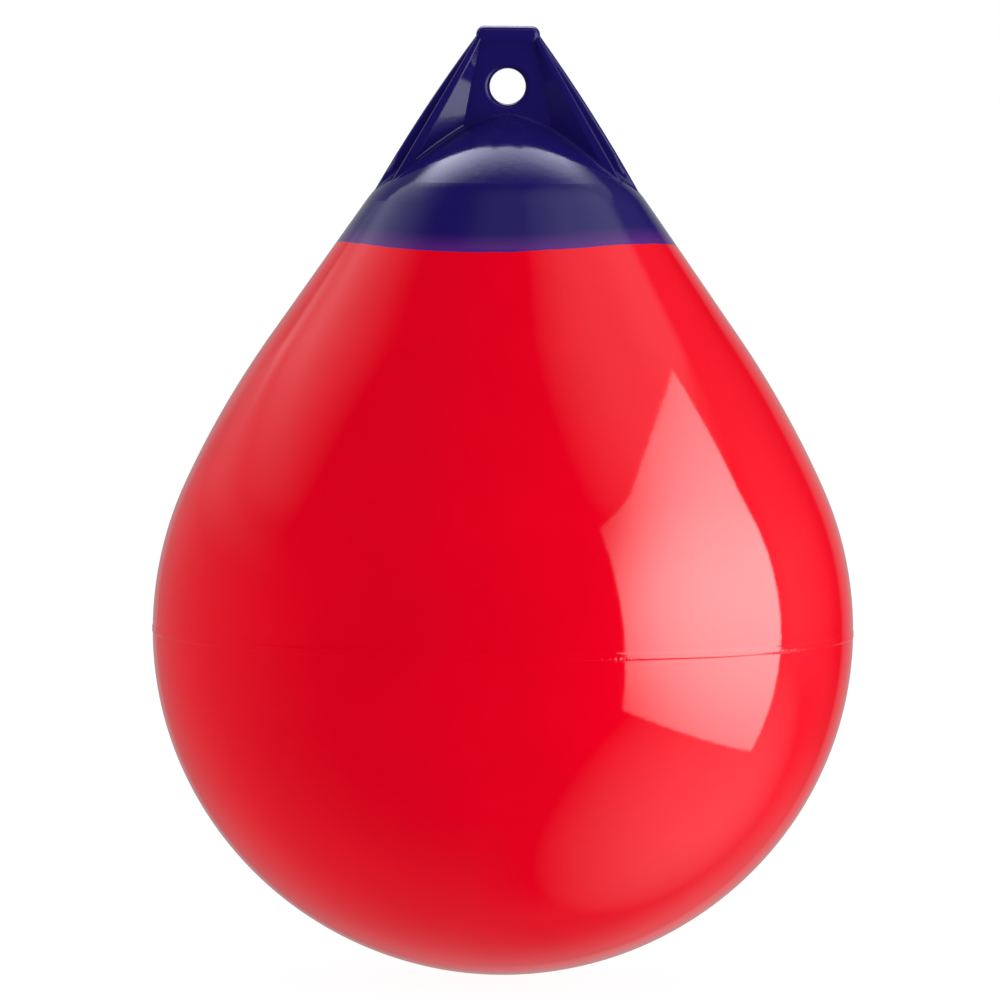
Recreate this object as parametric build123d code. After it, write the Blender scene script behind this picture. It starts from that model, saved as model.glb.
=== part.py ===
from build123d import *

import os
from math import acos, asin, cos, degrees, hypot, radians, sin, sqrt, tan

os.makedirs("parts", exist_ok=True)

# The origin is the middle of the line eye, +Z is up through the lug and the eye runs along Y.

# Body: with these sizes the whole buoy is 584 mm long
BODY_DIAMETER = 431.8
# From the widest place down to the bottom, a little less than the body's radius
CROWN_DEPTH = 212.8

# Meridian of the body: ball, long easing arc, straight cone
BASE_ARC_END = 35.0
BALL_ARC_END = 24.5
EASING_RADIUS = 584.0
CONE_HALF_ANGLE = 35.0
BODY_WALL = 3.0

# Parting line of the mould, a low bead round the widest place
PARTING_WIDTH = 4.0
PARTING_HEIGHT = 0.5

# Rope hold: a cap lapped over the body's neck. At its shoulder the cone turns over into a low dome.
SHOULDER_RADIUS = 81.5
SHOULDER_BELOW_EYE = 63.7
SHOULDER_ROUND = 60.0
SKIRT_BELOW_SHOULDER = 33.3
CAP_EDGE_THICKNESS = 0.8
CAP_DOME_THICKNESS = 12.0
DOME_TOP_BELOW_EYE = 11.9
DOME_ARC_RADIUS = 330.0

# Lug: a central web with four ribs and a top bar
EYE_BELOW_TOP = 37.0
EYE_RADIUS = 11.0
EYE_LIP_RADIUS = 4.5
WEB_THICKNESS = 22.0
WEB_TOP_HALF_WIDTH = 19.2
WEB_FOOT_BELOW_EYE = 66.0
WEB_SIDE_BULGE = 1.7
WEB_EDGE_RADIUS = 3.0
TOP_BAR_WIDTH = 39.2
TOP_BAR_HEIGHT = 11.0
TOP_BAR_DEPTH = 30.0
TOP_BAR_CORNER_SHARE = 0.48
TOP_BAR_EDGE_RADIUS = 5.0
# Hollow round from the web's faces out to the bar
BAR_FLARE_RADIUS = 10.0

# Ribs, each a wedge whose crest runs straight from the top bar to its foot
RIB_TOP_BELOW_BAR_TOP = 7.0
RIB_TOP_X = 17.6
RIB_TOP_Y = 14.0
RIB_TOP_CREST_WIDTH = 3.6
RIB_FOOT_BELOW_EYE = 56.0
RIB_FOOT_X = 65.8
RIB_FOOT_Y = 27.5
RIB_FOOT_CREST_WIDTH = 6.8
# Half the width of the bare web between the ribs, at the foot
POCKET_FOOT_HALF_WIDTH = 28.6
RIB_CREST_RADIUS = 1.6
RIB_RUN_IN = 19.0
# Hollow round where the lug meets the dome
LUG_FOOT_RADIUS = 2.5
# How far a piece of the lug reaches into the next, so that they join
OVERLAP = 2.0
# A point nearer to a face than this counts as on it
ON_FACE = 0.02

# Valve, square to the dome on the far side of the web
VALVE_REACH = 47.0
SEAT_SINK = 1.5
SEAT_FLANGE_RADIUS = 12.0
SEAT_FLANGE_THICKNESS = 2.5
SEAT_BODY_RADIUS = 7.5
SEAT_LENGTH = 8.0
AIR_HOLE_RADIUS = 1.5
GASKET_THICKNESS = 1.2
SCREW_HEAD_RADIUS = 6.5
SCREW_HEAD_THICKNESS = 3.0
SCREW_SHANK_RADIUS = 4.4
SCREW_FIT = 0.1
SCREW_EDGE = 0.6
SLOT_WIDTH = 1.8
SLOT_DEPTH = 1.6

# Places that follow from the sizes above
body_radius = BODY_DIAMETER / 2
top_z = EYE_BELOW_TOP
cone_tilt = radians(CONE_HALF_ANGLE)
ball_tilt = radians(BALL_ARC_END)
web_half = WEB_THICKNESS / 2

# From the shoulder down, the cone runs into the easing arc, and that into the ball's arc.
shoulder = (SHOULDER_RADIUS, -SHOULDER_BELOW_EYE)
easing_x = -(EASING_RADIUS - body_radius) * cos(ball_tilt)
cone_foot_x = easing_x + EASING_RADIUS * cos(cone_tilt)
cone_foot_z = shoulder[1] - (cone_foot_x - SHOULDER_RADIUS) / tan(cone_tilt)
easing_z = cone_foot_z - EASING_RADIUS * sin(cone_tilt)
widest_z = easing_z + (EASING_RADIUS - body_radius) * sin(ball_tilt)
bead_angle = degrees(PARTING_WIDTH / 2 / body_radius)

# The two arcs under the widest place meet at BASE_ARC_END and end level at the bottom.
base_tilt = radians(BASE_ARC_END)
base_difference = (body_radius - CROWN_DEPTH) / (sin(base_tilt) + cos(base_tilt) - 1)
side_arc_radius = body_radius - base_difference * cos(base_tilt)
base_arc_radius = side_arc_radius + base_difference
base_arc_z = widest_z + base_difference * sin(base_tilt)


def cone_radius(z):
    """Outside radius of the straight cone at a height."""
    return SHOULDER_RADIUS + (shoulder[1] - z) * tan(cone_tilt)


def inward(point, depth):
    """A point moved square to the cone, towards the inside."""
    return (point[0] - depth * cos(cone_tilt), point[1] - depth * sin(cone_tilt))


cap_edge_z = shoulder[1] - SKIRT_BELOW_SHOULDER
cap_edge = (cone_radius(cap_edge_z), cap_edge_z)
lap_foot = inward(cap_edge, CAP_EDGE_THICKNESS)
dome_top = (0, -DOME_TOP_BELOW_EYE)

# The web runs from the middle of the top bar down into the cone.
web_high = top_z - TOP_BAR_HEIGHT / 2
web_low = -WEB_FOOT_BELOW_EYE
web_foot = cone_radius(web_low) - OVERLAP / 2

# The dome's arc runs from the shoulder to the dome's top, its middle far down behind the axis.
dome_rise = dome_top[1] - shoulder[1]
dome_chord = hypot(SHOULDER_RADIUS, dome_rise)
dome_drop = sqrt(DOME_ARC_RADIUS**2 - dome_chord**2 / 4)
dome_arc_x = SHOULDER_RADIUS / 2 - dome_drop * dome_rise / dome_chord
dome_arc_z = (dome_top[1] + shoulder[1]) / 2 - dome_drop * SHOULDER_RADIUS / dome_chord
dome_start = acos((SHOULDER_RADIUS - dome_arc_x) / DOME_ARC_RADIUS)
lap_head_radius = DOME_ARC_RADIUS - CAP_DOME_THICKNESS
lap_head = (
    dome_arc_x + lap_head_radius * cos(dome_start),
    dome_arc_z + lap_head_radius * sin(dome_start),
)
lap_slope = (lap_head[0] - lap_foot[0]) / (lap_head[1] - lap_foot[1])

# The valve stands square to the dome.
valve_tilt = asin((VALVE_REACH - dome_arc_x) / DOME_ARC_RADIUS)
valve_z = dome_arc_z + DOME_ARC_RADIUS * cos(valve_tilt)
valve_plane = Plane(
    origin=(0, VALVE_REACH, valve_z),
    x_dir=(1, 0, 0),
    z_dir=(0, sin(valve_tilt), cos(valve_tilt)),
)
valve_axis = Axis(valve_plane.origin, valve_plane.z_dir)
seat_top = -SEAT_SINK
flange_under = seat_top - SEAT_FLANGE_THICKNESS
seat_bottom = seat_top - SEAT_LENGTH
air_hole_bottom = -(CAP_DOME_THICKNESS + BODY_WALL + OVERLAP)
gasket_top = seat_top + GASKET_THICKNESS
head_top = gasket_top + SCREW_HEAD_THICKNESS
screw_bore_radius = SCREW_SHANK_RADIUS + SCREW_FIT


def turned(*edges):
    """Solid of revolution about Z from a closed outline of radius and height."""
    return revolve(Plane.XZ * make_face(list(edges)), axis=Axis.Z)


def disc(radius, low, high):
    """Round disc or bore on the valve's own axis, between two heights along it."""
    drum = extrude(Circle(radius), high - low)
    return valve_plane * Pos(0, 0, low) * drum


def dome_arc(depth):
    """The dome's arc from the shoulder up to the axis, at a depth under the dome's face."""
    radius = DOME_ARC_RADIUS - depth
    turn = acos(-dome_arc_x / radius) - dome_start
    return CenterArc((dome_arc_x, dome_arc_z), radius, degrees(dome_start), degrees(turn))


def body_shape(inset, bead_height):
    """The body's outside, or the air space inside it at an inset, neck included."""
    base = CenterArc((0, base_arc_z), base_arc_radius - inset, -90, 90 - BASE_ARC_END)
    side = CenterArc(
        (body_radius - side_arc_radius, widest_z),
        side_arc_radius - inset,
        -BASE_ARC_END,
        BASE_ARC_END - bead_angle,
    )
    ball = CenterArc(
        (0, widest_z), body_radius - inset, bead_angle, BALL_ARC_END - bead_angle
    )
    bead_tip = (body_radius - inset + bead_height, widest_z)
    bead = ThreePointArc(side @ 1, bead_tip, ball @ 0)
    easing = CenterArc(
        (easing_x, easing_z),
        EASING_RADIUS - inset,
        BALL_ARC_END,
        CONE_HALF_ANGLE - BALL_ARC_END,
    )
    cone_top = inward(cap_edge, inset)
    step = inward(cap_edge, max(inset, CAP_EDGE_THICKNESS))
    neck = dome_arc(CAP_DOME_THICKNESS + inset)
    outline = [base, side, bead, ball, easing, Line(easing @ 1, cone_top)]
    if inset < CAP_EDGE_THICKNESS:
        outline.append(Line(cone_top, step))
    outline += [Line(step, neck @ 0), neck, Line(neck @ 1, base @ 0)]
    return turned(*outline)


def bladder():
    """Red body: a closed shell with the valve's air hole through its neck."""
    shell = body_shape(0, PARTING_HEIGHT) - body_shape(BODY_WALL, 0)
    return shell - disc(AIR_HOLE_RADIUS, air_hole_bottom, seat_bottom)


def cap():
    """Cap of the rope hold, still filled down to the level of its lower edge."""
    floor = (0, lap_foot[1])
    filled = turned(
        Line(cap_edge, shoulder),
        dome_arc(0),
        Line(dome_top, floor),
        Line(floor, lap_foot),
        Line(lap_foot, cap_edge),
    )
    rings = filled.edges().filter_by(lambda e: e.is_closed)
    return fillet(rings.sort_by(Axis.Z)[-1], SHOULDER_ROUND)


def neck_core():
    """The body's neck as it fills the cap, run out a little below the cap's edge."""
    tail = (lap_foot[0] - OVERLAP * lap_slope, lap_foot[1] - OVERLAP)
    neck = dome_arc(CAP_DOME_THICKNESS)
    return turned(
        Line(tail, neck @ 0),
        neck,
        Line(neck @ 1, (0, tail[1])),
        Line((0, tail[1]), tail),
    )


def web():
    """Central web with the rounded eye and rounded outer edges."""
    right = SagittaArc((WEB_TOP_HALF_WIDTH, web_high), (web_foot, web_low), WEB_SIDE_BULGE)
    left = SagittaArc((-web_foot, web_low), (-WEB_TOP_HALF_WIDTH, web_high), WEB_SIDE_BULGE)
    outline = make_face([right, Line(right @ 1, left @ 0), left, Line(left @ 1, right @ 0)])
    plate = extrude(Plane.XZ * outline, web_half, both=True)
    plate = fillet(plate.edges().filter_by(GeomType.CIRCLE), WEB_EDGE_RADIUS)
    plate -= Rot(90, 0, 0) * Cylinder(EYE_RADIUS, WEB_THICKNESS)
    rounds = plate.edges().filter_by(GeomType.CIRCLE)
    return fillet(rounds.filter_by(lambda e: e.is_closed), EYE_LIP_RADIUS)


def top_bar():
    """Rounded bar across the top of the web and ribs."""
    corner = TOP_BAR_CORNER_SHARE * TOP_BAR_HEIGHT
    outline = Plane.XZ * RectangleRounded(TOP_BAR_WIDTH, TOP_BAR_HEIGHT, corner)
    bar = extrude(outline, TOP_BAR_DEPTH / 2, both=True)
    ends = bar.faces().sort_by(Axis.Y)
    bar = fillet(ends[0].edges() + ends[-1].edges(), TOP_BAR_EDGE_RADIUS)
    return Pos(0, 0, top_z - TOP_BAR_HEIGHT / 2) * bar


def bar_flare():
    """Hollow round that carries the web's front face out to the bar's lower edge."""
    edge_y = TOP_BAR_DEPTH / 2 - TOP_BAR_EDGE_RADIUS
    edge_z = top_z - TOP_BAR_HEIGHT + TOP_BAR_EDGE_RADIUS
    reach = web_half + BAR_FLARE_RADIUS - edge_y
    spread = BAR_FLARE_RADIUS + TOP_BAR_EDGE_RADIUS
    turn = acos(reach / spread)
    centre = (-web_half - BAR_FLARE_RADIUS, edge_z - spread * sin(turn))
    hollow = CenterArc(centre, BAR_FLARE_RADIUS, 0, degrees(turn))
    back = OVERLAP - web_half
    profile = [
        hollow,
        Line(hollow @ 1, ((hollow @ 1).X, edge_z)),
        Line(((hollow @ 1).X, edge_z), (back, edge_z)),
        Line((back, edge_z), (back, centre[1])),
        Line((back, centre[1]), hollow @ 0),
    ]
    return extrude(Plane.YZ * make_face(profile), RIB_TOP_X, both=True)


def rib_section(z):
    """Cross-section of the rib at front right, at a height."""
    high = top_z - RIB_TOP_BELOW_BAR_TOP
    share = (high - z) / (high + RIB_FOOT_BELOW_EYE)
    middle = RIB_TOP_X + share * (RIB_FOOT_X - RIB_TOP_X)
    depth = RIB_TOP_Y + share * (RIB_FOOT_Y - RIB_TOP_Y)
    half = (RIB_TOP_CREST_WIDTH + share * (RIB_FOOT_CREST_WIDTH - RIB_TOP_CREST_WIDTH)) / 2
    pocket_top = RIB_TOP_X - RIB_TOP_CREST_WIDTH / 2
    pocket = pocket_top + share * (POCKET_FOOT_HALF_WIDTH - pocket_top)
    outline = Polyline(
        (pocket, OVERLAP - web_half),
        (middle - half, -depth),
        (middle + half, -depth),
        (middle + half, OVERLAP - web_half),
        close=True,
    )
    return Pos(0, 0, z) * make_face(outline)


def rib():
    """Wedge rib at front right, with its two crest edges rounded."""
    high = top_z - RIB_TOP_BELOW_BAR_TOP
    low = -RIB_FOOT_BELOW_EYE - RIB_RUN_IN
    wedge = loft([rib_section(high), rib_section(low)], ruled=True)
    lengthwise = [e for e in wedge.edges() if e.bounding_box().size.Z > RIB_RUN_IN]
    crests = ShapeList(lengthwise).sort_by(lambda e: e.center().Y)[:2]
    return fillet(crests, RIB_CREST_RADIUS)


def lies_on(shape, edge):
    """Whether an edge's ends and middle are on a shape's faces."""
    points = [Vertex(*(edge @ share)) for share in (0, 0.5, 1)]
    return all(min(f.distance_to(p) for f in shape.faces()) < ON_FACE for p in points)


def rope_hold():
    """Blue end: cap, web, four ribs and top bar moulded as one, with the valve's recess."""
    one = rib()
    pair = [one, mirror(one, Plane.YZ)]
    ribs = pair + [mirror(r, Plane.XZ) for r in pair]
    flares = [bar_flare(), mirror(bar_flare(), Plane.XZ)]
    dome = cap()
    whole = dome + web() + ribs + top_bar() + flares
    crossings = whole.edges().filter_by(GeomType.BSPLINE)
    foot = crossings.filter_by(lambda e: lies_on(dome, e))
    whole = fillet(foot, LUG_FOOT_RADIUS)
    recess = disc(SEAT_FLANGE_RADIUS, flange_under, head_top)
    pocket = disc(SEAT_BODY_RADIUS, seat_bottom, 0)
    air_hole = disc(AIR_HOLE_RADIUS, air_hole_bottom, seat_bottom)
    return whole - neck_core() - recess - pocket - air_hole


def valve_seat():
    """Flanged bush that the screw closes."""
    bush = disc(SEAT_FLANGE_RADIUS, flange_under, seat_top)
    bush += disc(SEAT_BODY_RADIUS, seat_bottom, flange_under)
    return bush - disc(screw_bore_radius, seat_bottom, seat_top)


def valve_gasket():
    """Flat sealing ring between the flange and the screw's head."""
    ring = disc(SCREW_HEAD_RADIUS, seat_top, gasket_top)
    return ring - disc(screw_bore_radius, seat_top, gasket_top)


def valve_screw():
    """Slotted screw, head and shank."""
    head = disc(SCREW_HEAD_RADIUS, gasket_top, head_top)
    head = chamfer(head.edges().sort_by(valve_axis)[-1], SCREW_EDGE)
    shank = disc(SCREW_SHANK_RADIUS, seat_bottom, gasket_top)
    slot = Box(2 * (SCREW_HEAD_RADIUS + OVERLAP), SLOT_WIDTH, 2 * SLOT_DEPTH)
    return head + shank - valve_plane * Pos(0, 0, head_top) * slot


def write(node, piece):
    """One STEP file for each piece."""
    piece.label = node
    export_step(piece, f"parts/{node}.step")


write("bladder", bladder())
write("rope_hold", rope_hold())
write("valve_seat", valve_seat())
write("valve_gasket", valve_gasket())
write("valve_screw", valve_screw())
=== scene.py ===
from math import acos, ceil, cos, hypot, pi, radians, sin, sqrt, tan

import bmesh
import bpy
from bpy.props import FloatProperty, FloatVectorProperty, IntProperty, PointerProperty
from mathutils import Matrix, Vector, noise


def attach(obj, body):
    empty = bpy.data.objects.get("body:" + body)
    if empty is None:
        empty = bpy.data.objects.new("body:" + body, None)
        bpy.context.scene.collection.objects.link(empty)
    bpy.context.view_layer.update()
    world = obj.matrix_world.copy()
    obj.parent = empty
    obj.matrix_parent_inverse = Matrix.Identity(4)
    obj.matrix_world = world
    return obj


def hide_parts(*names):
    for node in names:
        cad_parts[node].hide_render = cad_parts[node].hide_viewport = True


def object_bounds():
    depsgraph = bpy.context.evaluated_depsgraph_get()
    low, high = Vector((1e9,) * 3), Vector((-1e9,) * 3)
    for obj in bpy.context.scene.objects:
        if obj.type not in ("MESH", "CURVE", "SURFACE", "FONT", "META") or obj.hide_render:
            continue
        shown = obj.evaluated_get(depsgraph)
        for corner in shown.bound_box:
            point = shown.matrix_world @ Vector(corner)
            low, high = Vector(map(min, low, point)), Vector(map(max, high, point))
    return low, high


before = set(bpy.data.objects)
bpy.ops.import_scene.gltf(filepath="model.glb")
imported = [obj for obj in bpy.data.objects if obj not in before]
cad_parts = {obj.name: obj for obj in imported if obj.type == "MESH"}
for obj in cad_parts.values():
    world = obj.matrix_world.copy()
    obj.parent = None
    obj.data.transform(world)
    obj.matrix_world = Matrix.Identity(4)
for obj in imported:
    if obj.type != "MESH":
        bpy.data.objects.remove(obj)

bl_info = {
    "name": "Inflatable teardrop buoy",
    "version": (1, 0, 0),
    "blender": (4, 5, 0),
    "location": "View3D > Sidebar > Buoy",
    "description": "Dresses the packed teardrop buoy and sets its studio",
    "category": "Add Mesh",
}

cad_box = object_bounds()


def length(name, description, default):
    """A size in metres."""
    return FloatProperty(
        name=name, description=description, default=default, unit="LENGTH", precision=5
    )


def angle(name, description, default):
    """An angle, given in degrees and kept in radians."""
    return FloatProperty(
        name=name, description=description, default=radians(default), subtype="ANGLE"
    )


def colour(name, description, default):
    """A linear colour."""
    return FloatVectorProperty(
        name=name, description=description, default=default, subtype="COLOR", size=3, min=0, max=1
    )


def number(name, description, default):
    """A plain number."""
    return FloatProperty(name=name, description=description, default=default, precision=4)


class BuoyBodySizes(bpy.types.PropertyGroup):
    """Sizes of the red body, as the solid has them."""

    diameter: length("Diameter", "Across the widest place, without the parting band", 0.4318)
    crown_depth: length("Crown depth", "From the widest place down to the bottom", 0.2128)
    base_arc_end: angle("Base arc end", "Where the bottom's arc meets the side's", 35)
    ball_arc_end: angle("Ball arc end", "Where the ball's arc meets the easing arc", 24.5)
    easing_radius: length("Easing radius", "Radius of the long arc below the cone", 0.584)
    cone_half_angle: angle("Cone half angle", "Slope of the straight cone", 35)
    shoulder_radius: length("Shoulder radius", "Where the cone turns over into the dome", 0.0815)
    shoulder_below_eye: length("Shoulder below eye", "Height of that place", 0.0637)
    skirt: length("Skirt", "From the shoulder down to the cap's edge", 0.0333)
    cap_edge: length("Cap edge", "How far the body steps in under the cap's edge", 0.0008)
    cap_dome: length("Cap dome", "How far the neck lies under the cap's dome", 0.012)
    dome_top_below_eye: length("Dome top below eye", "Height of the dome's top", 0.0119)
    dome_arc_radius: length("Dome arc radius", "Radius of the dome's outline", 0.33)
    clear: length("Clear", "How far the skin stays back from the cap above it", 0.0001)
    band_width: length("Band width", "Parting band across the widest place", 0.004)
    band_height: length("Band height", "How far the band stands out", 0.00033)
    band_lip: length("Band lip", "Extra height of the band's trimmed lower edge", 0.0001)
    mark_pitch: length("Mark pitch", "Spacing of the trimming marks along the band", 0.0034)
    mark_height: length("Mark height", "Height of those marks", 0.00008)
    dent_depth: length("Dent depth", "Deepest of the soft skin's shallow waves", 0.00022)
    dent_span: length("Dent span", "Spacing of those waves", 0.085)
    segments: IntProperty(name="Segments", description="Faces round the body", default=480)
    ring_step: length("Ring step", "Spacing of the rings", 0.0055)
    band_step: length("Band step", "Spacing of the rings at the parting band", 0.00045)


class BuoyFinish(bpy.types.PropertyGroup):
    """Colours and gloss."""

    red: colour("Red", "Body vinyl", (0.80, 0.0, 0.013))
    blue: colour("Blue", "Rope hold vinyl", (0.012, 0.007, 0.112))
    fade: colour("Fade", "Where the blue thins out over the red", (0.09, 0.016, 0.185))
    rim: colour("Rim", "Thin line where the blue ends", (0.05, 0.02, 0.21))
    plastic: colour("Plastic", "Valve seat and screw", (0.012, 0.012, 0.015))
    rubber: colour("Rubber", "Gasket", (0.02, 0.019, 0.018))
    red_gloss: number("Red roughness", "Roughness of the body", 0.05)
    blue_gloss: number("Blue roughness", "Roughness of the rope hold", 0.09)
    ior: number("IOR", "Refraction of soft vinyl", 1.53)
    fade_height: length("Fade height", "Height of the fade over the colour line", 0.0105)
    line_lift: length("Line lift", "Colour line above the cap's edge, on average", 0.0002)
    line_lean: length("Line lean", "How far the line rises to the right", 0.0008)
    line_wave: length("Line wave", "Height of the line's three waves", 0.002)
    line_turn: angle("Line turn", "Turn of those waves", -60)


class BuoyStage(bpy.types.PropertyGroup):
    """Camera, floor and lights."""

    distance: length("Distance", "Camera to the aim", 5.0)
    elevation: angle("Elevation", "Camera above the aim", 3.5)
    roll: angle("Roll", "Turn of the picture", 0.5)
    lens: number("Lens", "Focal length in millimetres", 292.2)
    aim_x: length("Aim X", "Aim beside the axis", -0.0025)
    aim_z: length("Aim Z", "Aim below the eye", -0.2546)
    floor_gap: length("Floor gap", "Air under the hanging buoy", 0.004)
    floor_radius: length("Floor radius", "Size of the round floor", 40)
    key: number("Key", "Brightness of the right softbox", 7.5)
    top: number("Top", "Brightness of the round overhead lamp", 5.2)
    front: number("Front", "Brightness of the faint panel over the camera", 0.2)
    blue_key: number("Blue key", "Brightness of the right softbox on the rope hold", 2.0)
    fill: number("Fill", "Soft light from all sides on dull surfaces", 0.54)
    back_fill: number("Back fill", "More of that light from behind", 0.40)
    key_fill: number("Key fill", "Share of that light that comes from the right softbox", 0.66)
    left_fill: number("Left fill", "Share of that light that comes from the left", 0.22)


# Parting band, as shares of half its width: drift up and down, soft upper and lower edge, lip
BAND_DRIFT = 0.12
BAND_SOFT = 0.34
BAND_SOFT_BELOW = 0.7 * BAND_SOFT
LIP_PLACE = 0.8
LIP_REACH = 0.3
# How fast the band's drift and wear change round the body, and where their noise is read
DRIFT_RATE, DRIFT_SEED = 3, 5
WEAR_RATE, WEAR_SEED = 11, 9
WEAR_MEAN, WEAR_SWING, WEAR_SPARE = 0.8, 0.35, 0.15
BAND_FINE_SPAN = 1.6  # Reach of the fine rings, in band widths
DENT_SEED = (7.3, 1.9, 4.1)  # Where the noise of the waves is read
DENT_FADE = 0.05  # Distance below the cap's edge over which the waves set in

# Moulded surfaces: ranges of the noise that are used, and the sizes of film and swell
CLOUD_RANGE = (0.3, 0.7)
FILM_RANGE = (0.35, 0.75)
FILM_FINER = 4.3
SWELL_COARSER = 9
SWELL_HEIGHT = 2.2

# Colour line: waves round the body, ragged edge, and heights above it where rim and fade begin
LINE_WAVES = 3
RAGGED_SCALE = 60
RAGGED_HEIGHT = 0.0003
LINE_SOFT = 0.0002
RIM_RANGE = (0.0006, 0.0013)
FADE_START = 0.0008

# Trimming marks: place across the band in band widths, reach, and where they are worn away
MARK_PLACE = 0.4
MARK_REACH = (0.0003, 0.0013)
MARK_RANGE = (0.3, 0.7)
MARK_WEAR_SCALE = 28
MARK_WEAR = (0.42, 0.62, 0.15, 1)

# Light sheets that show in reflections only: corners, brightest place, fall-off and its power
KEY_CORNERS = (
    (1.3, -1.828, 1.197),
    (1.3, -1.578, -1.087),
    (1.3, 0.10, -0.985),
    (1.3, 0.17, 0.92),
)
KEY_HOT, KEY_FALL, KEY_POWER = (1.3, -0.54, -0.08), (0, 0.8, 0.98), 2
KEY_BEHIND = 0.05  # Distance of the rope hold's own sheet behind it
TOP_CORNERS = ((-1.6, -0.3, 1.5), (1.5, -0.3, 1.5), (1.5, 2.8, 1.5), (-1.6, 2.8, 1.5))
TOP_HOT, TOP_FALL, TOP_POWER = (-0.06, 1.28, 1.5), (1.14, 1.2, 0), 6
TOP_COLOUR = (0.82, 0.81, 1, 1)
FRONT_CORNERS = ((-0.8, -1.4, 1.55), (0.8, -1.4, 1.55), (0.8, 0.1, 1.55), (-0.8, 0.1, 1.55))
FRONT_HOT, FRONT_FALL, FRONT_POWER = (0, -0.65, 1.55), (1.8, 1.8, 0), 4
WHITE = (1, 1, 1, 1)

# Floor: its grey, its own glow and the faces round it
FLOOR_GREY = (0.08, 0.08, 0.08, 1)
FLOOR_GLOW = 0.96
FLOOR_SEGMENTS = 96

# Lamps for dull surfaces: their aim, size and places
FILL_AIM = (0, 0, -0.33)
FILL_SIZE = 1.6
FILL_RIGHT = (1.7, -1.0, -0.3)
FILL_LEFT = (-1.95, -0.35, -0.3)

# Soft light of the world on dull surfaces, as ramps: start and end along an axis, value at each
SOFT_BELOW = (-0.9, 0, 0.3, 0)
SOFT_ABOVE = (0, 0.9, 0, 0.28)
SOFT_BACK = (-0.8, 0.4)  # Its two values are properties of the stage

# The room in reflections, as such ramps
CEILING_CUT = (0.75, 0.9, 1, 0)
WINDOW_LOW = (0.2, 0.31, 0.25, 0.43)
WINDOW_HIGH = (0.4, 0.52, 0, 0.52)
WINDOW_GLOW = (0.68, 0.76, 0, 0.34)
WINDOW_GLOW_FOOT = (0.31, 0.35, 0, 1)
WINDOW_START = (0, 0.4, -0.45, -0.1)
WINDOW_END = (0, 0.45, 0.95, 0.6)
WINDOW_BACK = (0.1, 0.34, 0.94, 0.79)
WINDOW_BACK_HIGH = (0.34, 0.47, 0, -0.14)
WINDOW_BACK_SOFT = (-0.012, 0.012, 0, 1)
PAST_WINDOW = (0.15, 0.5, 0.36, 0.12)
WALL = (0.3, 0.8, 0.36, 0.03)
WALL_START = (0, 0.35, 0, 1)
WALL_FOOT = (-0.35, 0, 0.3, 1)
WALL_TOP = (0.2, 0.6, 1, 0.4)
SKIRTING = (-0.4, -0.1, 0.14, 0)
SKIRTING_START = (0.55, 0.8, 0, 1)
RIM_STEP = (0.84, 0.865, 0, 0.13)
RIM_RISE = (0.86, 1, 0, 0.26)
SKYLIGHT = (0.59, 0.63, 0, 0.32)
SKYLIGHT_START = (0, 0.3, 0, 1)
GROUND = (-0.6, -0.25, 0.25, 0)
GROUND_START = (0.4, 0.85, 0, 1)
GROUND_LEFT = (-0.3, 0.4, 0.35, 1)
LEFT_TO_RIGHT = (-0.12, 0.12, 0, 1)

# Pale areas of that room: direction, the two cosines of its soft edge, brightness
PALE_AREAS = (
    ((0.606, -0.107, 0.788), 0.86, 0.99, 0.66),
    ((0.74, -0.05, -0.67), 0.76, 0.99, 0.85),
)


def arc(centre, radius, start, end, step):
    """Points along an arc from one angle up to another, its first point left out."""
    count = max(2, ceil(abs(end - start) * radius / step))
    turns = [start + (end - start) * k / count for k in range(1, count + 1)]
    return [(centre[0] + radius * cos(t), centre[1] + radius * sin(t)) for t in turns]


def run(start, end, step):
    """Points along a straight line, its first point left out."""
    count = max(1, ceil((Vector(end) - Vector(start)).length / step))
    return [tuple(Vector(start).lerp(Vector(end), k / count)) for k in range(1, count + 1)]


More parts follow.
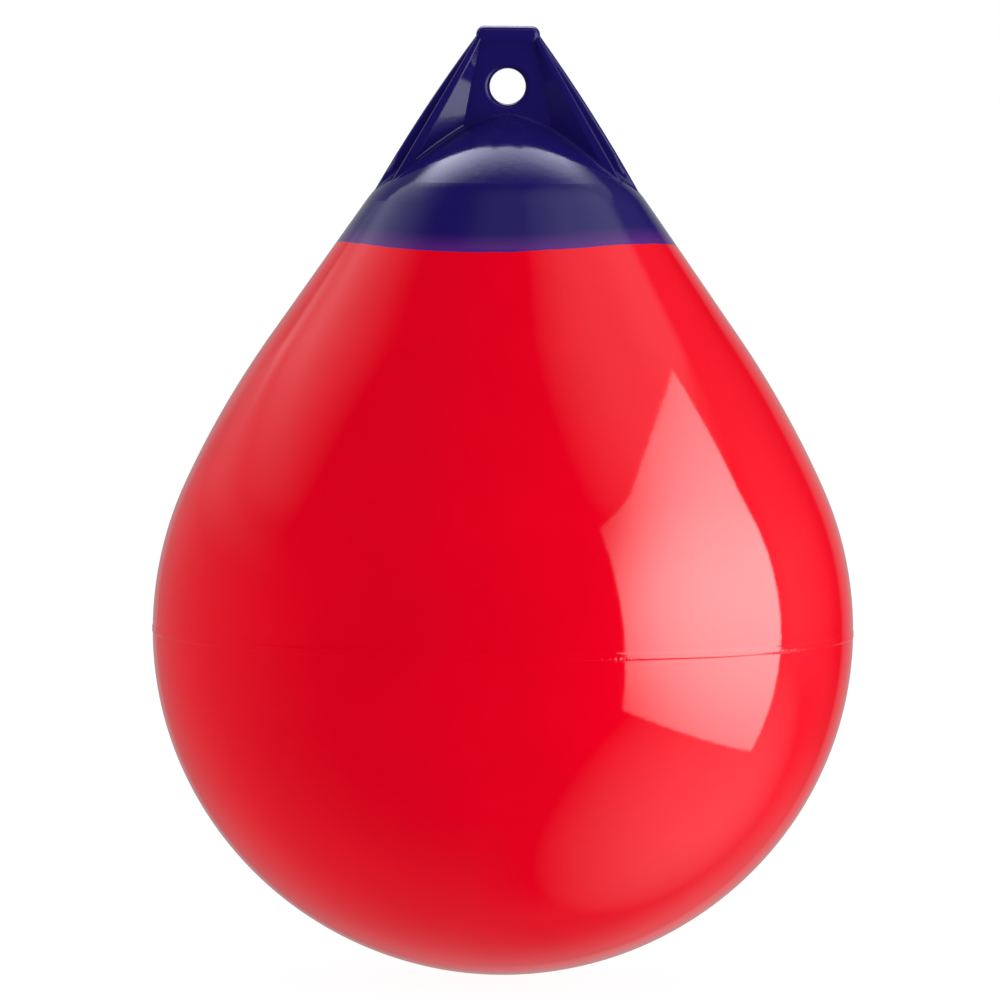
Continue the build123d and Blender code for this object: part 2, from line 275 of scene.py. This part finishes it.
class Meridian:
    """Outline of the body from its bottom up to the neck under the cap."""

    def __init__(self, s):
        cone, ball, base = s.cone_half_angle, s.ball_arc_end, s.base_arc_end
        radius = s.diameter / 2
        shoulder = (s.shoulder_radius, -s.shoulder_below_eye)
        inward = Vector((-cos(cone), -sin(cone)))

        easing_x = -(s.easing_radius - radius) * cos(ball)
        foot_x = easing_x + s.easing_radius * cos(cone)
        foot_z = shoulder[1] - (foot_x - shoulder[0]) / tan(cone)
        easing = (easing_x, foot_z - s.easing_radius * sin(cone))
        self.widest_z = easing[1] + (s.easing_radius - radius) * sin(ball)

        gain = (radius - s.crown_depth) / (sin(base) + cos(base) - 1)
        side_radius = radius - gain * cos(base)
        base_radius = side_radius + gain
        base_z = self.widest_z + gain * sin(base)

        edge_z = shoulder[1] - s.skirt
        edge_x = shoulder[0] + s.skirt * tan(cone)
        self.cap_edge = Vector((edge_x, edge_z))
        lap_foot = self.cap_edge + inward * (s.cap_edge + s.clear)

        top_z = -s.dome_top_below_eye
        chord = hypot(shoulder[0], top_z - shoulder[1])
        drop = sqrt(s.dome_arc_radius**2 - chord**2 / 4) / chord
        dome = (
            shoulder[0] / 2 - drop * (top_z - shoulder[1]),
            (top_z + shoulder[1]) / 2 - drop * shoulder[0],
        )
        neck_start = acos((shoulder[0] - dome[0]) / s.dome_arc_radius)
        neck_radius = s.dome_arc_radius - s.cap_dome - s.clear
        neck_end = acos(-dome[0] / neck_radius)
        neck_foot = (
            dome[0] + neck_radius * cos(neck_start),
            dome[1] + neck_radius * sin(neck_start),
        )

        fine = BAND_FINE_SPAN * s.band_width / radius
        points = [(0, base_z - base_radius)]
        points += arc((0, base_z), base_radius, -pi / 2, -base, s.ring_step)
        side = (radius - side_radius, self.widest_z)
        points += arc(side, side_radius, -base, -fine, s.ring_step)
        points += arc(side, side_radius, -fine, 0, s.band_step)
        ball_centre = (0, self.widest_z)
        points += arc(ball_centre, radius, 0, fine, s.band_step)
        points += arc(ball_centre, radius, fine, ball, s.ring_step)
        points += arc(easing, s.easing_radius, ball, cone, s.ring_step)
        points += run((foot_x, foot_z), self.cap_edge, s.ring_step)
        self.edge_ring = len(points) - 1
        points += run(self.cap_edge, lap_foot, s.ring_step)
        points += run(lap_foot, neck_foot, s.ring_step)
        points += arc(dome, neck_radius, neck_start, neck_end, s.ring_step)
        points[-1] = (0, points[-1][1])
        self.points = [Vector(p) for p in points]

    def outward(self, ring):
        """Direction square to the outline at a ring."""
        if ring == self.edge_ring:
            along = self.points[ring] - self.points[ring - 1]
        else:
            along = self.points[ring + 1] - self.points[ring - 1]
        return Vector((along.y, -along.x)).normalized()


def ease(x, low, high):
    """Smooth step from 0 at low to 1 at high."""
    share = min(1, max(0, (x - low) / (high - low)))
    return share * share * (3 - 2 * share)


def uneven_turn(turn, rate, seed):
    """Smooth noise round the body, the same again after a full turn."""
    return noise.noise(Vector((rate * cos(turn), rate * sin(turn), seed)))


def band(s, above, turn):
    """How far the parting band stands out, at a height above the widest place and a turn."""
    half = s.band_width / 2
    x = above - BAND_DRIFT * half * uneven_turn(turn, DRIFT_RATE, DRIFT_SEED)
    soft, soft_below = BAND_SOFT * half, BAND_SOFT_BELOW * half
    wall = ease(x, -half - soft_below, -half + soft_below)
    wall *= 1 - ease(x, half - soft, half + soft)
    lip = max(0, 1 - abs(x + LIP_PLACE * half) / (LIP_REACH * half))
    worn = WEAR_MEAN + WEAR_SWING * uneven_turn(turn, WEAR_RATE, WEAR_SEED)
    return s.band_height * wall * min(1, worn + WEAR_SPARE) + s.band_lip * lip * worn


def lathe(name, s):
    """Closed skin of the body: the outline turned round the axis, with parting band and waves."""
    line = Meridian(s)
    mesh = bpy.data.meshes.new(name)
    bm = bmesh.new()
    rings = []
    for ring, point in enumerate(line.points):
        if point.x == 0:
            rings.append([bm.verts.new((0, 0, point.y))])
            continue
        out = line.outward(ring)
        under_cap = ring > line.edge_ring
        fading = ease(line.cap_edge.y - point.y, 0, DENT_FADE)
        verts = []
        for k in range(s.segments):
            turn = 2 * pi * k / s.segments
            lift = 0
            if not under_cap:
                place = Vector((point.x * cos(turn), point.x * sin(turn), point.y))
                wave = noise.noise(place / s.dent_span + Vector(DENT_SEED))
                lift = band(s, point.y - line.widest_z, turn)
                lift -= s.dent_depth * fading * (0.5 + 0.5 * wave)
            r = point.x + lift * out.x
            verts.append(bm.verts.new((r * cos(turn), r * sin(turn), point.y + lift * out.y)))
        rings.append(verts)
    for low, high in zip(rings, rings[1:]):
        for k in range(s.segments):
            after = (k + 1) % s.segments
            corners = [low[k % len(low)], low[after % len(low)]]
            corners += [high[after % len(high)], high[k % len(high)]]
            face = bm.faces.new(list(dict.fromkeys(corners)))
            face.smooth = True
    for ring in (line.edge_ring, line.edge_ring + 1):
        for k in range(s.segments):
            edge = bm.edges.get((rings[ring][k], rings[ring][(k + 1) % s.segments]))
            edge.smooth = False
    bm.normal_update()
    bm.to_mesh(mesh)
    bm.free()
    return mesh


class Nodes:
    """Short way to add and link the nodes of a tree."""

    def __init__(self, tree):
        self.tree = tree

    def add(self, kind, **settings):
        node = self.tree.nodes.new(kind)
        for key, value in settings.items():
            setattr(node, key, value)
        return node

    def link(self, source, target):
        self.tree.links.new(source, target)

    def feed(self, socket, value):
        """Links another node's output to a socket, or sets the socket to a constant."""
        if isinstance(value, bpy.types.NodeSocket):
            self.link(value, socket)
        else:
            socket.default_value = value

    def math(self, operation, first, second=None):
        node = self.add("ShaderNodeMath", operation=operation)
        self.feed(node.inputs[0], first)
        if second is not None:
            self.feed(node.inputs[1], second)
        return node.outputs[0]

    def plus(self, first, *others):
        for other in others:
            first = self.math("ADD", first, other)
        return first

    def times(self, first, *others):
        for other in others:
            first = self.math("MULTIPLY", first, other)
        return first

    def spread(self, value, low, high, to_low, to_high):
        node = self.add("ShaderNodeMapRange", clamp=True)
        ends = {"From Min": low, "From Max": high, "To Min": to_low, "To Max": to_high}
        for key, given in {"Value": value, **ends}.items():
            self.feed(node.inputs[key], given)
        return node.outputs["Result"]

    def pick(self, share, first, second):
        node = self.add("ShaderNodeMix", data_type="FLOAT")
        for key, given in {0: share, 2: first, 3: second}.items():
            self.feed(node.inputs[key], given)
        return node.outputs[0]

    def mix(self, share, first, second):
        node = self.add("ShaderNodeMix", data_type="RGBA")
        for key, given in {0: share, 6: first, 7: second}.items():
            self.feed(node.inputs[key], given)
        return node.outputs[2]

    def cloud(self, place, scale, detail):
        node = self.add("ShaderNodeTexNoise")
        for key, given in {"Vector": place, "Scale": scale, "Detail": detail}.items():
            self.feed(node.inputs[key], given)
        return node.outputs["Fac"]

    def vector(self, operation, first, second=None):
        node = self.add("ShaderNodeVectorMath", operation=operation)
        self.feed(node.inputs[0], first)
        if second is not None:
            self.feed(node.inputs[1], second)
        return node.outputs["Value" if operation in ("LENGTH", "DOT_PRODUCT") else "Vector"]

    def place(self):
        """Place on the object, in its own frame."""
        return self.add("ShaderNodeTexCoord").outputs["Object"]

    def split(self, vector):
        node = self.add("ShaderNodeSeparateXYZ")
        self.link(vector, node.inputs[0])
        return node.outputs


def new_group(name, inputs, outputs):
    """Empty shader node group with named inputs and outputs."""
    group = bpy.data.node_groups.new(name, "ShaderNodeTree")
    kinds = {"colour": "NodeSocketColor", "number": "NodeSocketFloat"}
    for key, kind in inputs.items():
        group.interface.new_socket(key, in_out="INPUT", socket_type=kinds[kind])
    for key, kind in outputs.items():
        group.interface.new_socket(key, in_out="OUTPUT", socket_type=kinds[kind])
    nodes = Nodes(group)
    return nodes, nodes.add("NodeGroupInput"), nodes.add("NodeGroupOutput")


def surface_group(name, grain_scale, cloud_scale):
    """Moulded surface: clouded colour, uneven gloss and a fine grain."""
    if name in bpy.data.node_groups:
        return bpy.data.node_groups[name]
    nodes, given, made = new_group(
        name,
        {"Colour": "colour", "Shade": "number", "Roughness": "number", "Uneven": "number"},
        {"Colour": "colour", "Roughness": "number", "Height": "number"},
    )
    place = nodes.place()
    dark = nodes.math("SUBTRACT", 1, given.outputs["Shade"])
    value = nodes.spread(nodes.cloud(place, cloud_scale, 3), *CLOUD_RANGE, dark, 1)
    shade = nodes.add("ShaderNodeHueSaturation")
    nodes.link(given.outputs["Colour"], shade.inputs["Color"])
    nodes.link(value, shade.inputs["Value"])
    nodes.link(shade.outputs["Color"], made.inputs["Colour"])

    film = nodes.cloud(place, cloud_scale * FILM_FINER, 4)
    rough = given.outputs["Roughness"]
    dull = nodes.plus(rough, given.outputs["Uneven"])
    nodes.link(nodes.spread(film, *FILM_RANGE, rough, dull), made.inputs["Roughness"])

    peel = nodes.cloud(place, grain_scale, 2)
    swell = nodes.cloud(place, grain_scale / SWELL_COARSER, 1)
    nodes.link(nodes.plus(peel, nodes.times(swell, SWELL_HEIGHT)), made.inputs["Height"])
    return nodes.tree


def surfaced(name, group, shade, rough, uneven, bump):
    """Material whose colour, gloss and bump come from a surface group."""
    material = bpy.data.materials.new(name)
    material.use_nodes = True
    nodes = Nodes(material.node_tree)
    shader = material.node_tree.nodes["Principled BSDF"]
    surface = nodes.add("ShaderNodeGroup", name="surface", node_tree=group)
    for key, given in {"Shade": shade, "Roughness": rough, "Uneven": uneven}.items():
        surface.inputs[key].default_value = given
    raised = nodes.add("ShaderNodeBump", name="raised")
    raised.inputs["Strength"].default_value = 1
    raised.inputs["Distance"].default_value = bump
    nodes.link(surface.outputs["Height"], raised.inputs["Height"])
    nodes.link(surface.outputs["Colour"], shader.inputs["Base Color"])
    nodes.link(surface.outputs["Roughness"], shader.inputs["Roughness"])
    nodes.link(raised.outputs["Normal"], shader.inputs["Normal"])
    return material


def plain(name, rgb, **finish):
    """Grained material of one colour."""
    material = surfaced(name, grain_group(), **finish)
    material.node_tree.nodes["surface"].inputs["Colour"].default_value = four(rgb)
    return material


def vinyl(name, body, f, **finish):
    """Soft vinyl, red below the colour line and blue above it."""
    material = surfaced(name, vinyl_group(), **finish)
    material.node_tree.nodes["Principled BSDF"].inputs["IOR"].default_value = f.ior
    two_tone(material, body, f)
    return material


def colour_line_group():
    """Height above the wavy line where the blue vinyl ends and the red begins."""
    if "colour_line" in bpy.data.node_groups:
        return bpy.data.node_groups["colour_line"]
    inputs = dict.fromkeys(("Edge", "Lift", "Lean", "Wave", "Turn"), "number")
    nodes, given, made = new_group("colour_line", inputs, {"Height": "number"})
    place = nodes.place()
    x, y, z = nodes.split(place)
    turn = nodes.math("ARCTAN2", x, nodes.times(y, -1))
    lean = nodes.times(nodes.math("SINE", turn), given.outputs["Lean"])
    phase = nodes.plus(nodes.times(turn, LINE_WAVES), given.outputs["Turn"])
    wave = nodes.times(nodes.math("SINE", phase), given.outputs["Wave"])
    rough = nodes.cloud(place, RAGGED_SCALE, 3)
    ragged = nodes.spread(rough, *CLOUD_RANGE, -RAGGED_HEIGHT, RAGGED_HEIGHT)
    line = nodes.plus(lean, wave, given.outputs["Lift"], ragged, given.outputs["Edge"])
    nodes.link(nodes.math("SUBTRACT", z, line), made.inputs["Height"])
    return nodes.tree


def two_tone(material, body, f):
    """Makes a material red below the colour line and blue above it, thin and purple at first."""
    nodes = Nodes(material.node_tree)
    line = nodes.add("ShaderNodeGroup", node_tree=colour_line_group())
    line.inputs["Edge"].default_value = -body.shoulder_below_eye - body.skirt
    line.inputs["Lift"].default_value = f.line_lift
    line.inputs["Lean"].default_value = f.line_lean
    line.inputs["Wave"].default_value = f.line_wave
    line.inputs["Turn"].default_value = f.line_turn
    above = line.outputs["Height"]
    thick = nodes.spread(above, FADE_START, f.fade_height, 0, 1)
    blue = nodes.mix(thick, four(f.fade), four(f.blue))
    edged = nodes.mix(nodes.spread(above, *RIM_RANGE, 0, 1), four(f.rim), blue)
    moulded = nodes.mix(nodes.spread(above, -LINE_SOFT, LINE_SOFT, 0, 1), four(f.red), edged)
    nodes.link(moulded, material.node_tree.nodes["surface"].inputs["Colour"])


def trim_marks(material, s):
    """Adds the small uneven marks that trimming left along the parting band's lower edge."""
    nodes = Nodes(material.node_tree)
    place = nodes.place()
    x, y, z = nodes.split(place)
    turn = nodes.math("ARCTAN2", x, y)
    uneven = nodes.add("ShaderNodeTexNoise", noise_dimensions="1D")
    nodes.link(nodes.times(turn, s.diameter / s.mark_pitch), uneven.inputs["W"])
    uneven.inputs["Scale"].default_value = 1
    uneven.inputs["Detail"].default_value = 1
    cut = nodes.spread(uneven.outputs["Fac"], *MARK_RANGE, -1, 1)
    height = Meridian(s).widest_z - MARK_PLACE * s.band_width
    away = nodes.math("ABSOLUTE", nodes.math("SUBTRACT", z, height))
    near = nodes.spread(away, *MARK_REACH, 1, 0)
    worn = nodes.spread(nodes.cloud(place, MARK_WEAR_SCALE, 2), *MARK_WEAR)
    raised = material.node_tree.nodes["raised"]
    size = s.mark_height / raised.inputs["Distance"].default_value
    marks = nodes.times(cut, near, worn, size)
    grain = material.node_tree.nodes["surface"].outputs["Height"]
    nodes.link(nodes.plus(grain, marks), raised.inputs["Height"])


def vinyl_group():
    """Smooth soft vinyl."""
    return surface_group("moulded_vinyl", grain_scale=420, cloud_scale=14)


def grain_group():
    """Grained hard plastic and rubber."""
    return surface_group("moulded_grain", grain_scale=1800, cloud_scale=90)


def four(rgb):
    """A colour property with full alpha."""
    return (*rgb, 1.0)


def dress(node, material):
    """Gives a CAD node a material."""
    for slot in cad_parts[node].material_slots:
        slot.material = material


class BUOY_OT_bladder(bpy.types.Operator):
    """Makes the red body's skin"""

    bl_idname = "buoy.bladder"
    bl_label = "Body skin"

    def execute(self, context):
        s, f = context.scene.buoy_body, context.scene.buoy_finish
        skin = bpy.data.objects.new("bladder_skin", lathe("bladder_skin", s))
        context.scene.collection.objects.link(skin)
        finish = {"shade": 0.06, "rough": f.red_gloss, "uneven": 0.02, "bump": 0.000012}
        material = vinyl("red_vinyl_skin", s, f, **finish)
        trim_marks(material, s)
        skin.data.materials.append(material)
        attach(skin, "root")
        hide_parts("bladder")
        return {"FINISHED"}


class BUOY_OT_rope_hold(bpy.types.Operator):
    """Gives the rope hold its blue vinyl, thinned out over the red at its lower edge"""

    bl_idname = "buoy.rope_hold"
    bl_label = "Rope hold finish"

    def execute(self, context):
        s, f = context.scene.buoy_body, context.scene.buoy_finish
        finish = {"shade": 0.1, "rough": f.blue_gloss, "uneven": 0.02, "bump": 0.00002}
        material = vinyl("blue_vinyl_skin", s, f, **finish)
        dress("rope_hold", material)
        return {"FINISHED"}


class BUOY_OT_valve(bpy.types.Operator):
    """Gives the valve's seat, screw and gasket their plastic and rubber"""

    bl_idname = "buoy.valve"
    bl_label = "Valve finish"

    def execute(self, context):
        f = context.scene.buoy_finish
        hard = {"shade": 0.3, "rough": 0.42, "uneven": 0.12, "bump": 0.00002}
        soft = {"shade": 0.35, "rough": 0.6, "uneven": 0.15, "bump": 0.00003}
        plastic = plain("valve_nylon", f.plastic, **hard)
        rubber = plain("gasket_soft", f.rubber, **soft)
        dress("valve_seat", plastic)
        dress("valve_screw", plastic)
        dress("valve_gasket", rubber)
        return {"FINISHED"}


def fill_light(name, share, place):
    """Unseen square lamp, as bright on dull surfaces as a white world of that strength."""
    light = bpy.data.lights.new(name, "AREA")
    light.shape = "RECTANGLE"
    light.size = light.size_y = FILL_SIZE
    way = Vector(FILL_AIM) - Vector(place)
    light.energy = share * pi * pi * way.length**2
    lamp = bpy.data.objects.new(name, light)
    lamp.location = place
    lamp.rotation_euler = way.to_track_quat("-Z", "Y").to_euler()
    lamp.visible_camera = False
    lamp.visible_glossy = False
    bpy.context.scene.collection.objects.link(lamp)


def sheet_material(name, tint, brightness, hot, fall, power):
    """Glow that is brightest round one place and lets everything behind it through."""
    material = bpy.data.materials.new(name)
    material.use_nodes = True
    nodes = Nodes(material.node_tree)
    material.node_tree.nodes.remove(material.node_tree.nodes["Principled BSDF"])
    glow = nodes.add("ShaderNodeEmission")
    glow.inputs["Color"].default_value = tint
    both = nodes.add("ShaderNodeAddShader")
    nodes.link(glow.outputs[0], both.inputs[0])
    nodes.link(nodes.add("ShaderNodeBsdfTransparent").outputs[0], both.inputs[1])
    nodes.link(both.outputs[0], material.node_tree.nodes["Material Output"].inputs["Surface"])
    shift = nodes.vector("SUBTRACT", nodes.place(), hot)
    reach = nodes.vector("LENGTH", nodes.vector("MULTIPLY", shift, fall))
    fade = nodes.math("EXPONENT", nodes.times(nodes.math("POWER", reach, power), -1.0))
    nodes.link(nodes.times(fade, brightness), glow.inputs["Strength"])
    return material


def softbox(name, corners, receivers, **glow):
    """Glowing sheet that shows only in the reflections of the objects it is meant for."""
    mesh = bpy.data.meshes.new(name)
    mesh.from_pydata(corners, [], [tuple(range(len(corners)))])
    mesh.materials.append(sheet_material(name, **glow))
    panel = bpy.data.objects.new(name, mesh)
    for ray in ("visible_camera", "visible_diffuse", "visible_transmission", "visible_shadow"):
        setattr(panel, ray, False)
    bpy.context.scene.collection.objects.link(panel)
    lit = bpy.data.collections.new(name + "_lights")
    for receiver in receivers:
        lit.objects.link(receiver)
    panel.light_linking.receiver_collection = lit


def left_window(nodes, y, z):
    """Big window on the left: brighter higher up, dim past its sharp back edge."""
    level = nodes.plus(nodes.spread(z, *WINDOW_LOW), nodes.spread(z, *WINDOW_HIGH))
    glow = nodes.times(nodes.spread(y, *WINDOW_GLOW), nodes.spread(z, *WINDOW_GLOW_FOOT))
    start, end = nodes.spread(z, *WINDOW_START), nodes.spread(z, *WINDOW_END)
    window = nodes.times(nodes.plus(level, glow), nodes.spread(y, start, end, 0, 1))
    back = nodes.plus(nodes.spread(z, *WINDOW_BACK), nodes.spread(z, *WINDOW_BACK_HIGH))
    past = nodes.spread(nodes.math("SUBTRACT", y, back), *WINDOW_BACK_SOFT)
    return nodes.pick(past, window, nodes.spread(z, *PAST_WINDOW))


def right_wall(nodes, y, z):
    """Dim wall on the right, with a paler rim far back and a skylight over it."""
    wall = nodes.times(nodes.spread(y, *WALL), nodes.spread(y, *WALL_START))
    wall = nodes.times(wall, nodes.spread(z, *WALL_FOOT))
    skirting = nodes.times(nodes.spread(z, *SKIRTING), nodes.spread(y, *SKIRTING_START))
    rim = nodes.plus(nodes.spread(y, *RIM_STEP), nodes.spread(y, *RIM_RISE), skirting)
    wall = nodes.times(nodes.plus(wall, rim), nodes.spread(z, *WALL_TOP))
    skylight = nodes.times(nodes.spread(z, *SKYLIGHT), nodes.spread(y, *SKYLIGHT_START))
    return nodes.plus(wall, skylight)


def room_glow(nodes, way):
    """Brightness of the room in reflections, by direction."""
    x, y, z = nodes.split(way)
    side = nodes.spread(x, *LEFT_TO_RIGHT)
    both = nodes.pick(side, left_window(nodes, y, z), right_wall(nodes, y, z))
    ground = nodes.times(nodes.spread(z, *GROUND), nodes.spread(y, *GROUND_START))
    ground = nodes.times(ground, nodes.spread(x, *GROUND_LEFT))
    room = nodes.plus(nodes.times(both, nodes.spread(z, *CEILING_CUT)), ground)
    for direction, low, high, brightness in PALE_AREAS:
        near = nodes.vector("DOT_PRODUCT", way, direction)
        room = nodes.plus(room, nodes.spread(near, low, high, 0, brightness))
    return room


def soft_glow(nodes, way, st):
    """Brightness of the room on dull surfaces, by direction."""
    _, y, z = nodes.split(way)
    back = nodes.spread(y, *SOFT_BACK, st.fill, st.fill + st.back_fill)
    return nodes.plus(nodes.spread(z, *SOFT_BELOW), nodes.spread(z, *SOFT_ABOVE), back)


def make_world(st):
    """White to the camera, soft light on dull surfaces, a dark room in reflections."""
    world = bpy.data.worlds.new("studio")
    bpy.context.scene.world = world
    world.use_nodes = True
    world.cycles.sampling_method = "NONE"
    nodes = Nodes(world.node_tree)
    backdrop = world.node_tree.nodes["Background"]
    backdrop.inputs["Color"].default_value = WHITE
    way = nodes.add("ShaderNodeTexCoord").outputs["Generated"]
    path = nodes.add("ShaderNodeLightPath").outputs
    glow = nodes.pick(path["Is Glossy Ray"], soft_glow(nodes, way, st), room_glow(nodes, way))
    nodes.link(nodes.pick(path["Is Camera Ray"], glow, 1.0), backdrop.inputs["Strength"])


def make_floor(st):
    """Wide pale floor just under the buoy, seen by the camera only."""
    bm = bmesh.new()
    bmesh.ops.create_circle(bm, cap_ends=True, segments=FLOOR_SEGMENTS, radius=st.floor_radius)
    mesh = bpy.data.meshes.new("floor")
    bm.to_mesh(mesh)
    bm.free()
    floor = bpy.data.objects.new("floor", mesh)
    floor.location.z = cad_box[0].z - st.floor_gap
    material = bpy.data.materials.new("pale_floor")
    material.use_nodes = True
    shader = material.node_tree.nodes["Principled BSDF"]
    shader.inputs["Base Color"].default_value = FLOOR_GREY
    shader.inputs["Roughness"].default_value = 1
    shader.inputs["Specular IOR Level"].default_value = 0
    shader.inputs["Emission Color"].default_value = WHITE
    shader.inputs["Emission Strength"].default_value = FLOOR_GLOW
    mesh.materials.append(material)
    for ray in ("visible_glossy", "visible_diffuse", "visible_transmission", "visible_shadow"):
        setattr(floor, ray, False)
    bpy.context.scene.collection.objects.link(floor)


def make_camera(st):
    """Camera at the photo's viewing angle."""
    data = bpy.data.cameras.new("camera")
    data.sensor_width = 36
    data.lens = st.lens
    data.clip_end = 200
    camera = bpy.data.objects.new("camera", data)
    aim = Vector((st.aim_x, 0, st.aim_z))
    away = Vector((0, -cos(st.elevation), sin(st.elevation)))
    turn = (-away).to_track_quat("-Z", "Y").to_matrix() @ Matrix.Rotation(st.roll, 3, "Z")
    camera.matrix_world = Matrix.Translation(aim + away * st.distance) @ turn.to_4x4()
    bpy.context.scene.collection.objects.link(camera)
    bpy.context.scene.camera = camera


class BUOY_OT_stage(bpy.types.Operator):
    """Sets up camera, floor and soft studio light"""

    bl_idname = "buoy.stage"
    bl_label = "Studio"

    def execute(self, context):
        st = context.scene.buoy_stage
        context.scene.view_settings.view_transform = "Standard"
        make_camera(st)
        make_floor(st)
        make_world(st)
        fill_light("fill_right", st.key_fill, FILL_RIGHT)
        fill_light("fill_left", st.left_fill, FILL_LEFT)
        red = [bpy.data.objects["bladder_skin"]]
        blue = [node for name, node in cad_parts.items() if name != "bladder"]
        key = {"tint": WHITE, "hot": KEY_HOT, "fall": KEY_FALL, "power": KEY_POWER}
        softbox("softbox_right", KEY_CORNERS, red, brightness=st.key, **key)
        behind = [(x + KEY_BEHIND, y, z) for x, y, z in KEY_CORNERS]
        softbox("softbox_right_soft", behind, blue, brightness=st.blue_key, **key)
        top = {"tint": TOP_COLOUR, "hot": TOP_HOT, "fall": TOP_FALL, "power": TOP_POWER}
        softbox("lamp_top", TOP_CORNERS, red + blue, brightness=st.top, **top)
        front = {"tint": WHITE, "hot": FRONT_HOT, "fall": FRONT_FALL, "power": FRONT_POWER}
        softbox("panel_front", FRONT_CORNERS, blue, brightness=st.front, **front)
        return {"FINISHED"}


class BUOY_PT_parts(bpy.types.Panel):
    """Lists the buoy's pieces in the sidebar"""

    bl_idname = "BUOY_PT_parts"
    bl_label = "Teardrop buoy"
    bl_space_type = "VIEW_3D"
    bl_region_type = "UI"
    bl_category = "Buoy"

    def draw(self, context):
        for step in STEPS:
            self.layout.operator(step.bl_idname)


GROUPS = {"buoy_body": BuoyBodySizes, "buoy_finish": BuoyFinish, "buoy_stage": BuoyStage}
STEPS = (BUOY_OT_bladder, BUOY_OT_rope_hold, BUOY_OT_valve, BUOY_OT_stage)


def register():
    for cls in (*GROUPS.values(), *STEPS, BUOY_PT_parts):
        bpy.utils.register_class(cls)
    for key, group in GROUPS.items():
        setattr(bpy.types.Scene, key, PointerProperty(type=group))


def unregister():
    for key in GROUPS:
        delattr(bpy.types.Scene, key)
    for cls in (BUOY_PT_parts, *reversed(STEPS), *reversed(list(GROUPS.values()))):
        bpy.utils.unregister_class(cls)


def main():
    register()
    bpy.ops.buoy.bladder()
    bpy.ops.buoy.rope_hold()
    bpy.ops.buoy.valve()
    bpy.ops.buoy.stage()


if __name__ == "__main__":
    main()
